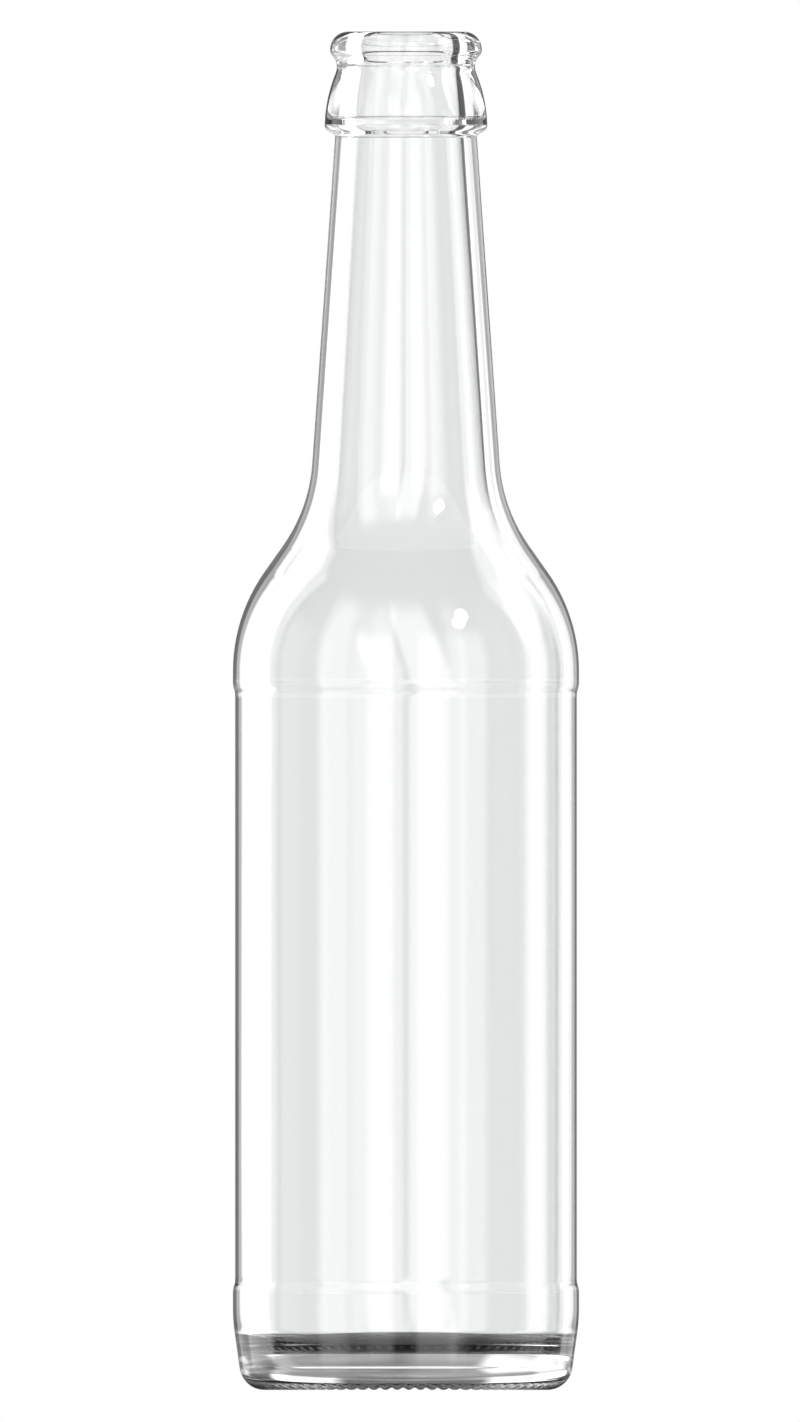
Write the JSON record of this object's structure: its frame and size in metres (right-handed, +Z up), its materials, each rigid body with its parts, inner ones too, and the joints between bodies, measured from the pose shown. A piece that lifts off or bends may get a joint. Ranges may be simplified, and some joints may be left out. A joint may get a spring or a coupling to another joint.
{
  "type": "longneck bottle",
  "caption": "Empty clear glass longneck bottle with a crown finish, a sunk label panel, a domed base and a knurled standing ring.",
  "frame": {"origin": "middle of the ring that the bottle stands on, at the height of the knurls' crests", "axes": "+Z up along the bottle's axis, from the base to the mouth; the bottle is round, so +X and +Y are any two directions across it"},
  "size_m": [0.0608, 0.0608, 0.239],
  "materials": {
    "flint_glass": "clear polished"
  },
  "bodies": {
    "root": {"bottle": "flint_glass"}
  },
  "joints": []
}
